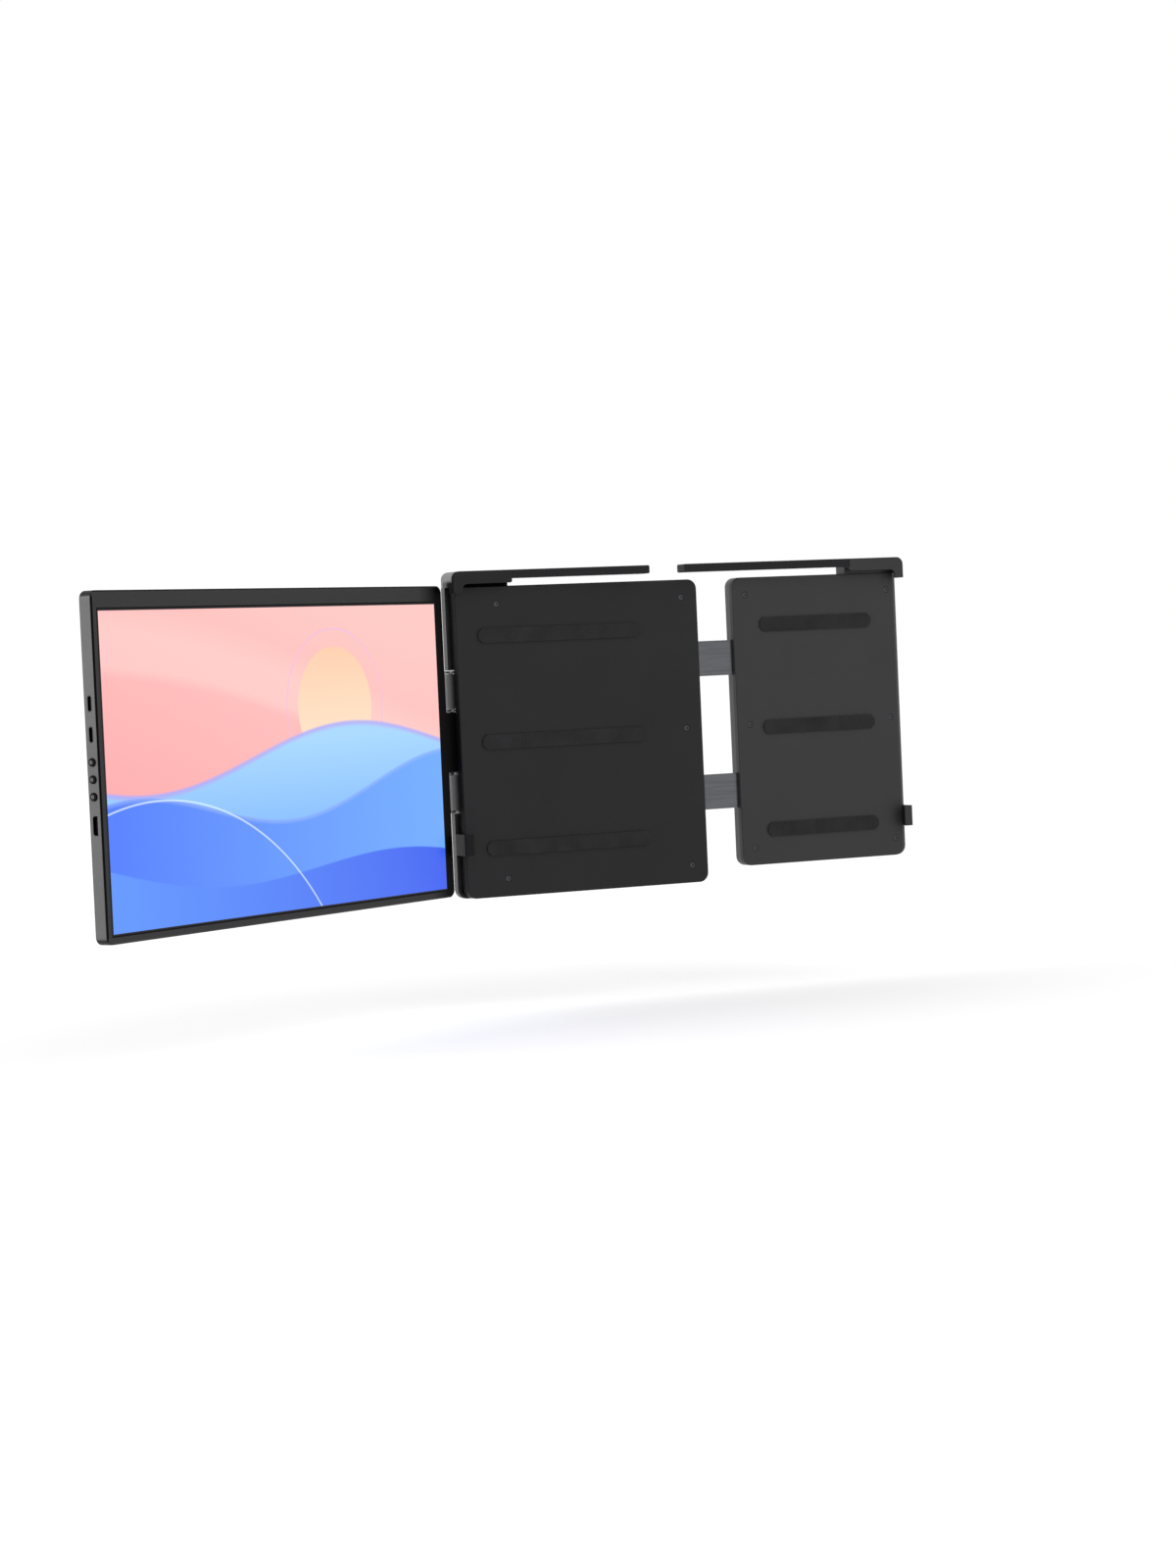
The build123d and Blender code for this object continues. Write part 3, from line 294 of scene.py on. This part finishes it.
def picture(name):
    """The display: a lit picture of plain waves, a disc and thin arcs, in display heights."""
    shader = Shader(name)
    x = shader.over(shader.less(along_screen(shader), DISPLAY_LEFT * MM), DISPLAY_HEIGHT * MM)
    y = shader.over(shader.less(shader.axes()[2], DISPLAY_LOW * MM), DISPLAY_HEIGHT * MM)
    width = DISPLAY_WIDTH / DISPLAY_HEIGHT
    margin = 0.0045
    sharp = 0.006

    def under(height, soft):
        """1 below a line of the given height, 0 above it, with a soft edge."""
        return shader.add(shader.over(shader.less(height, y), soft), 0.5, clamp=True)

    def wave(middle, swing, turns, start, tilt):
        angle = shader.add(shader.times(x, turns), start)
        bend = shader.times(shader.math("SINE", angle), swing)
        return shader.add(shader.add(bend, shader.times(x, tilt)), middle)

    def from_point(px, py):
        dx = shader.math("POWER", shader.absolute(shader.less(x, px)), 2.0)
        dy = shader.math("POWER", shader.absolute(shader.less(y, py)), 2.0)
        return shader.math("SQRT", shader.add(dx, dy))

    def ramp(value, low, high, first, second):
        return shader.blend(value, low, high, linear(*first), linear(*second))

    def ring(distance, radius, wide):
        """A thin circle, soft on both sides."""
        away = shader.absolute(shader.less(distance, radius))
        return shader.less(1.0, shader.over(away, wide), clamp=True)

    def crest(line, soft, drop, fade):
        """A band that follows a line and fades out below it."""
        return shader.less(under(line, soft), under(shader.less(line, drop), fade))

    def over_shade(amount, strength, colour):
        """A colour laid over the picture so far."""
        return shader.mix(shader.times(amount, strength), shade, linear(*colour))

    slant = shader.add(shader.times(x, 0.35), y)
    shade = ramp(slant, 0.35, 1.45, (252, 168, 170), (255, 199, 194))
    # A broad pale beam, the disc and its halo
    beam = under(wave(0.98, 0.05, 2.0, 0.4, -0.22), 0.10)
    foot = under(wave(0.80, 0.05, 2.3, 0.2, -0.20), 0.04)
    shade = over_shade(shader.times(beam, shader.less(1.0, foot)), 0.4, (255, 218, 212))
    spot = from_point(1.18, 0.66)
    disc = shader.over(shader.less(0.205, spot), sharp, clamp=True)
    shade = shader.mix(disc, shade, ramp(y, 0.45, 0.87, (255, 232, 204), (255, 204, 170)))
    shade = over_shade(ring(spot, 0.262, 0.004), 0.8, (226, 186, 238))
    # Three waves, the nearest the deepest blue, and a thin arc over them
    far = wave(0.50, 0.085, 3.1, 4.0, 0.02)
    middle = wave(0.33, 0.075, 3.7, 1.2, 0.05)
    near = wave(0.20, 0.06, 2.9, 3.2, -0.06)
    shade = shader.mix(under(far, sharp), shade, ramp(y, 0.20, 0.56, (118, 178, 250), (165, 214, 252)))
    shade = over_shade(crest(far, 0.012, 0.011, 0.018), 0.75, (190, 142, 236))
    shade = shader.mix(under(middle, sharp), shade, ramp(x, 0.0, 1.78, (74, 122, 250), (112, 172, 252)))
    shade = over_shade(crest(middle, 0.01, 0.008, 0.014), 0.6, (160, 190, 255))
    shade = shader.mix(under(near, sharp), shade, ramp(x, 0.0, 1.78, (92, 148, 252), (58, 96, 240)))
    shade = over_shade(ring(from_point(0.25, -0.62), 1.02, 0.0045), 0.85, (226, 246, 255))
    # The dark margin between the picture and the bezel
    inner = shader.times(shader.above(x, margin), shader.below(x, width - margin))
    tall = shader.times(shader.above(y, margin), shader.below(y, 1 - margin))
    shade = shader.mix(shader.times(inner, tall), (0.004, 0.004, 0.005, 1.0), shade)
    shader.surface.inputs["Base Color"].default_value = (0.008, 0.008, 0.009, 1.0)
    shader.surface.inputs["Roughness"].default_value = 0.32
    shader.surface.inputs["Specular IOR Level"].default_value = 0.25
    shader.put(shade, shader.surface.inputs["Emission Color"])
    shader.surface.inputs["Emission Strength"].default_value = 1.0
    return shader.material


def along_screen(shader):
    """How far a point is to the right of the screen's shaft, in metres, along the screen."""
    x, y, _ = shader.axes()
    east = shader.times(shader.less(x, SHAFT_X * MM), cos(FOLD))
    north = shader.times(shader.less(y, SHAFT_Y * MM), sin(FOLD))
    return shader.add(east, north)


def before_screen(shader):
    """How far a point is in front of the screen's shaft, in metres, square to the screen."""
    x, y, _ = shader.axes()
    east = shader.times(shader.less(x, SHAFT_X * MM), sin(FOLD))
    north = shader.times(shader.less(y, SHAFT_Y * MM), cos(FOLD))
    return shader.less(east, north)


def grey(level):
    """A neutral colour, a touch cool, as a node's colour."""
    return linear(level, level, level + 1)


def painted(name, paint, roughness, specular=0.2, metallic=0.0):
    """A fine-grained surface whose colour is laid on in zones by the function paint."""
    shader = Shader(name)
    fine = shader.noise(FINE_GRAIN, 3.0)
    wide = shader.noise(30.0, 4.0)
    speckle = shader.mix(shader.spread(fine, 0.0, 1.0), (0.86, 0.86, 0.86, 1.0), (1.14, 1.14, 1.14, 1.0))
    coat = shader.mix(1.0, paint(shader), speckle, "MULTIPLY")
    shader.put(coat, shader.surface.inputs["Base Color"])
    shader.put(shader.spread(wide, roughness - 0.05, roughness + 0.06), shader.surface.inputs["Roughness"])
    shader.surface.inputs["Specular IOR Level"].default_value = specular
    shader.surface.inputs["Metallic"].default_value = metallic
    shader.bump(fine, FINE_DEPTH, 0.5)
    return shader.material


def paint_bezel(shader):
    """Its side like the shell's, a chamfer painted black as shade, a grey front with painted shade
    darkening it by the hinge, a lip painted dark as shade.
    """
    z = shader.axes()[2]
    along = along_screen(shader)
    # Painted shade: the front fades to black towards the hinge
    front = shader.blend(along, SHADE_START * MM, SHADE_END * MM, grey(58), grey(1))
    # Painted shade: the chamfer along the left and the top is painted black
    shaded_chamfer = shader.below(along, (SCREEN_LEFT + BEZEL_CHAMFER) * MM)
    shaded_chamfer = shader.math("MAXIMUM", shaded_chamfer, shader.above(z, (SCREEN_HIGH - BEZEL_CHAMFER) * MM))
    side = shader.below(before_screen(shader), BEZEL_SIDE * MM)
    # Painted shade: the lip round the display's window is painted dark
    lip = shader.above(along, (DISPLAY_LEFT - BEZEL_LIP) * MM)
    lip = shader.times(lip, shader.below(along, (DISPLAY_LEFT + DISPLAY_WIDTH + BEZEL_LIP) * MM))
    lip = shader.times(lip, shader.above(z, (DISPLAY_LOW - BEZEL_LIP) * MM))
    lip = shader.times(lip, shader.below(z, (DISPLAY_LOW + DISPLAY_HEIGHT + BEZEL_LIP) * MM))
    paint = shader.mix(lip, front, grey(8))
    paint = shader.mix(shaded_chamfer, paint, grey(1))
    return shader.mix(side, paint, paint_screen(shader))


def shaded_corner_ends(shader):
    """1 on the rounded ends of the screen's left side, which turn away from the light, where shade is
    painted.
    """
    left = shader.below(along_screen(shader), (SCREEN_LEFT + SCREEN_CORNER) * MM)
    middle = (SCREEN_LOW + SCREEN_HIGH) / 2
    away = shader.absolute(shader.less(shader.axes()[2], middle * MM))
    start = SCREEN_HEIGHT / 2 - CORNER_REACH
    return shader.times(left, shader.share(away, start * MM, (start + CORNER_FADE) * MM))


def paint_screen(shader):
    """Grey, with painted shade darkening the ends of its left side."""
    return shader.mix(shaded_corner_ends(shader), grey(90), grey(1))


def paint_button(shader):
    """Black, as painted shade of the gap round it, with a small grey disc in the middle of its top."""
    up = shader.less(shader.axes()[2], (DISPLAY_LOW + BUTTON_LEVEL) * MM)
    up = shader.math("WRAP", up, BUTTON_PITCH * MM / 2, -BUTTON_PITCH * MM / 2)
    out = shader.less(before_screen(shader), BUTTON_DEPTH * MM)
    away = shader.add(shader.times(up, up), shader.times(out, out))
    disc = shader.below(away, (BUTTON_DISC * MM) ** 2)
    disc = shader.times(disc, shader.below(along_screen(shader), BUTTON_FACE * MM))
    # Painted shade: black everywhere but the disc
    return shader.mix(disc, grey(1), grey(96))


def paint_port(shader):
    """Its end grey like the side round it, its inside in the dark."""
    end = shader.below(along_screen(shader), PORT_RIM * MM)
    return shader.mix(end, grey(10), grey(78))


def paint_left_hook(shader):
    """Painted light and shade: black in front, where shade falls, paler at the rear of its side and on its
    rounded top, where the light reaches.
    """
    _, y, z = shader.axes()
    low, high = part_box("left_corner_hook")
    depth = shader.over(shader.less(y, low[1]), high[1] - low[1])
    # Painted shade on the front of its side, painted light towards its rear
    side = shader.blend(depth, *HOOK_SIDE_HALF_LIT, grey(1), grey(93))
    side = shader.blend(depth, *HOOK_SIDE_LIT, side, grey(134))
    # Painted light on its rounded top
    top = shader.blend(depth, *HOOK_TOP_LIT, grey(1), grey(134))
    round_low, round_high = (high[2] - drop * MM for drop in HOOK_ROUNDING)
    side = shader.blend(z, round_low, round_high, side, top)
    front = shader.below(y, low[1] + HOOK_FACE * MM)
    return shader.mix(front, side, grey(46))


def paint_shell(shader):
    """Dark grey, with painted shade black on the ledge and on the rear of the left side, by the hinge, in
    the screen's shade.
    """
    x, y, _ = shader.axes()
    # Painted shade: the ledge and the rear of the left side are painted black
    ledge = shader.times(shader.below(y, LEDGE_DEPTH * MM), shader.below(x, LEDGE_END * MM))
    edge = shader.times(shader.above(y, EDGE_DEPTH * MM), shader.below(x, EDGE_END * MM))
    return shader.mix(shader.math("MAXIMUM", ledge, edge), grey(66), grey(2))


def paint_link(shader):
    """Satin metal with a painted highlight on the barrel by the screen, and painted shade darker towards
    the frame.
    """
    low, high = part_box("hinge_links")
    across = shader.over(shader.less(shader.axes()[0], low[0]), high[0] - low[0])
    # Painted highlight on the barrel, then painted shade towards the frame
    barrel = shader.blend(across, *LINK_HIGHLIGHT, grey(30), grey(128))
    return shader.blend(across, *LINK_SHADE, barrel, grey(6))


frame_plastic = moulded("frame_plastic", linear(40, 40, 41), 0.5, specular=0.35)
cover_plastic = moulded("cover_plastic", linear(24, 24, 25), 0.55, specular=0.25)
shell_plastic = painted("shell_plastic", paint_shell, 0.42, specular=0.4)
grip_plastic = moulded("grip_plastic", linear(30, 29, 29), 0.4, specular=0.4)
hook_plastic = painted("hook_plastic", paint_left_hook, 0.42, specular=0.01)
bezel_plastic = painted("bezel_plastic", paint_bezel, 0.5, specular=0.07)
# The left clip's plastic: a darker copy of the clips' plastic, as painted shade
shaded_clip_plastic = moulded("shaded_clip_plastic", linear(12, 12, 12), 0.45, specular=0.15)
spine_plastic = moulded("spine_plastic", linear(4, 4, 4), 0.6, specular=0.08)
guide_plastic = moulded("guide_plastic", linear(206, 206, 200), 0.4, specular=0.4)
chip_plastic = moulded("chip_plastic", linear(24, 24, 26), 0.5)
button_plastic = painted("button_plastic", paint_button, 0.55, specular=0.1)
screen_metal = painted("screen_metal", paint_screen, 0.5, specular=0.4, metallic=0.3)
bar_metal = metal("bar_metal", linear(26, 26, 28), 0.46, metallic=0.2, specular=0.2)
rail_metal = metal("rail_metal", linear(96, 97, 100), 0.3, grain=900.0, stretch=(0.04, 1.0, 1.0))
tray_metal = metal("tray_metal", linear(176, 176, 178), 0.35)
link_metal = painted("link_metal", paint_link, 0.38, specular=0.3, metallic=0.4)
bracket_steel = metal("bracket_steel", linear(146, 146, 148), 0.4, metallic=0.5)
pin_steel = metal("pin_steel", linear(168, 168, 172), 0.25, grain=1800.0, stretch=(1.0, 1.0, 0.05))
screw_steel = metal("screw_steel", linear(70, 70, 74), 0.3)
port_steel = painted("port_steel", paint_port, 0.38, metallic=0.5)
port_black = moulded("port_black", linear(1, 1, 1), 0.6, specular=0.08)
soft_rubber = rubber("soft_rubber", linear(22, 22, 23))
pad_rubber = rubber("pad_rubber", linear(26, 26, 27), rib=450.0)
display_glass = picture("display_glass")
board_laminate = board("board_laminate")

dressed = {
    frame_plastic: ["arm_cover", "stand_flap"],
    spine_plastic: ["hinge_spine"],
    shell_plastic: ["back_shell", "arm_shell"],
    cover_plastic: ["front_cover"],
    grip_plastic: ["right_corner_hook", "right_side_clip"],
    shaded_clip_plastic: ["left_side_clip"],
    hook_plastic: ["left_corner_hook"],
    bar_metal: ["left_top_bar", "right_top_bar"],
    soft_rubber: ["left_hook_lining", "right_hook_lining", "stand_foot"],
    pad_rubber: ["seat_pads", "arm_pads"],
    guide_plastic: ["rail_guides", "rail_stops"],
    rail_metal: ["slide_rails"],
    link_metal: ["hinge_links", "hinge_link_caps"],
    bracket_steel: ["frame_hinge_brackets", "screen_hinge_brackets"],
    pin_steel: ["frame_hinge_shafts", "screen_hinge_shafts", "stand_pins"],
    screw_steel: ["frame_screws", "arm_screws"],
    screen_metal: ["screen_back_shell"],
    bezel_plastic: ["front_bezel"],
    display_glass: ["display_panel"],
    tray_metal: ["backlight_tray"],
    board_laminate: ["main_board"],
    chip_plastic: ["board_chips", "display_connector", "button_switches", "speakers"],
    port_steel: ["usb_c_ports"],
    port_black: ["mini_hdmi_port"],
    button_plastic: ["power_button", "up_button", "down_button"],
}
for material, names in dressed.items():
    for name in names:
        for slot in nodes[name].material_slots:
            slot.material = material

# Screw heads with a hexagon socket, which stand in the covers' counterbores, in millimetres
COVER_FACE = 1.0
HEAD_RADIUS = 1.9
SOCKET_RADIUS = 0.95
HEAD_SIDES = 24
# A ring's radius, how far it is behind the cover's face, and whether it is a hexagon
HEAD_RINGS = (
    (HEAD_RADIUS, 1.0, False),
    (HEAD_RADIUS, 0.25, False),
    (HEAD_RADIUS - 0.22, 0.02, False),
    (SOCKET_RADIUS + 0.25, 0.02, False),
    (SOCKET_RADIUS, 0.06, True),
    (SOCKET_RADIUS, 0.65, True),
)
UPPER_SCREWS = (2.0, 84.0)
FRAME_SCREWS = [(x, z) for x in (-42.0, 84.0) for z in (-84.0, *UPPER_SCREWS)]
ARM_SCREWS = [(x, z) for x in (129.0, 231.0) for z in (-76.0, *UPPER_SCREWS)]


def screw_heads(name, places, body, node):
    """Joins all heads of one cover into one piece that stands for the plain screws."""
    shape = bmesh.new()
    for x, z in places:
        rings = []
        for size, depth, six in HEAD_RINGS:
            ring = []
            for i in range(HEAD_SIDES):
                angle = 2 * pi * i / HEAD_SIDES
                reach = size
                if six:
                    reach = size * cos(pi / 6) / cos((angle + pi / 6) % (pi / 3) - pi / 6)
                point = Vector((x + reach * cos(angle), COVER_FACE + depth, z + reach * sin(angle)))
                ring.append(shape.verts.new(point * MM))
            rings.append(ring)
        for first, second in zip(rings, rings[1:]):
            for i in range(HEAD_SIDES):
                j = (i + 1) % HEAD_SIDES
                shape.faces.new((first[i], second[i], second[j], first[j]))
        shape.faces.new(rings[0])
        shape.faces.new(list(reversed(rings[-1])))
    bmesh.ops.recalc_face_normals(shape, faces=shape.faces)
    data = bpy.data.meshes.new(name)
    shape.to_mesh(data)
    shape.free()
    data.materials.append(screw_steel)
    made = bpy.data.objects.new(name, data)
    bpy.context.scene.collection.objects.link(made)
    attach(made, body)
    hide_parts(node)


screw_heads("frame_screw_heads", FRAME_SCREWS, "frame", "frame_screws")
screw_heads("arm_screw_heads", ARM_SCREWS, "right_arm", "arm_screws")

# The floor, pale and plain, below the reach of the open stand, since the frame hangs on a lid
bpy.ops.mesh.primitive_plane_add(size=FLOOR_SIZE, location=(0, 0, FLOOR_LEVEL * MM))
floor = bpy.context.object
floor.name = "floor"
ground = Shader("floor_white")
ground.surface.inputs["Base Color"].default_value = (0.9, 0.9, 0.9, 1.0)
ground.surface.inputs["Roughness"].default_value = 1.0
ground.surface.inputs["Specular IOR Level"].default_value = 0.0
ground.surface.inputs["Emission Color"].default_value = (1.0, 1.0, 1.0, 1.0)
light_path = ground.node("ShaderNodeLightPath")
direct = ground.math("MAXIMUM", light_path.outputs["Is Camera Ray"], light_path.outputs["Is Glossy Ray"])
direct = ground.math("MAXIMUM", direct, light_path.outputs["Is Transmission Ray"])
# Its glow fades towards the object, where the lamps light it, so that the shadow stays
floor_x, floor_y, _ = ground.axes()
away = ground.math("SQRT", ground.add(ground.times(floor_x, floor_x), ground.times(floor_y, floor_y)))
far_share = ground.share(away, GLOW_NEAR, GLOW_FAR)
glow = ground.add(ground.times(far_share, FAR_GLOW - NEAR_GLOW), NEAR_GLOW)
ground.put(ground.times(direct, glow), ground.surface.inputs["Emission Strength"])
floor.data.materials.append(ground.material)

# World: white where it is seen or mirrored, softer where it lights
world = bpy.data.worlds.new("studio")
bpy.context.scene.world = world
world.use_nodes = True
tree = world.node_tree
back = tree.nodes["Background"]
back.inputs["Color"].default_value = (1, 1, 1, 1)
path = tree.nodes.new("ShaderNodeLightPath")
seen = path.outputs["Is Camera Ray"]
for ray in ("Is Transmission Ray", "Is Glossy Ray"):
    either = tree.nodes.new("ShaderNodeMath")
    either.operation = "MAXIMUM"
    tree.links.new(seen, either.inputs[0])
    tree.links.new(path.outputs[ray], either.inputs[1])
    seen = either.outputs[0]
level = tree.nodes.new("ShaderNodeMapRange")
level.inputs["To Min"].default_value = WORLD_LIGHT
level.inputs["To Max"].default_value = WORLD_SEEN
tree.links.new(seen, level.inputs["Value"])
tree.links.new(level.outputs[0], back.inputs["Strength"])


def lamp(name, place, target, size, watts):
    """A square soft lamp that faces its target."""
    data = bpy.data.lights.new(name, "AREA")
    data.size = size
    data.energy = watts
    made = bpy.data.objects.new(name, data)
    made.location = place
    made.rotation_euler = (Vector(target) - Vector(place)).to_track_quat("-Z", "Y").to_euler()
    bpy.context.scene.collection.objects.link(made)


lamp("key", place=(-2.9, 0.15, 1.0), target=(-0.1, 0, 0), size=1.8, watts=40.0)
lamp("fill", place=(1.2, -2.6, 2.2), target=(0, 0, 0), size=2.0, watts=20.0)

# The camera, which stands where the photograph's did, with its focal length in the photograph's pixels
CAMERA_PLACE = (-0.88406, -1.95218, 0.04851)
FOCAL_PIXELS = 3549.07
PHOTO_HEIGHT = 1600.0
SENSOR = 36.0
azimuth = radians(24.70)
down = radians(2.07)
roll = radians(-2.56)
look = Vector((sin(azimuth) * cos(down), cos(azimuth) * cos(down), -sin(down)))
side = Vector((cos(azimuth), -sin(azimuth), 0))
above = side.cross(look)
camera_x = side * cos(roll) + above * sin(roll)
camera_y = above * cos(roll) - side * sin(roll)
data = bpy.data.cameras.new("camera")
data.sensor_fit = "VERTICAL"
data.sensor_height = SENSOR
data.lens = FOCAL_PIXELS * SENSOR / PHOTO_HEIGHT
data.clip_start = 0.05
data.clip_end = 200.0
camera = bpy.data.objects.new("camera", data)
pose = Matrix((camera_x, camera_y, -look)).transposed().to_4x4()
pose.translation = Vector(CAMERA_PLACE)
camera.matrix_world = pose
bpy.context.scene.collection.objects.link(camera)
bpy.context.scene.camera = camera
bpy.context.scene.view_settings.view_transform = "Standard"
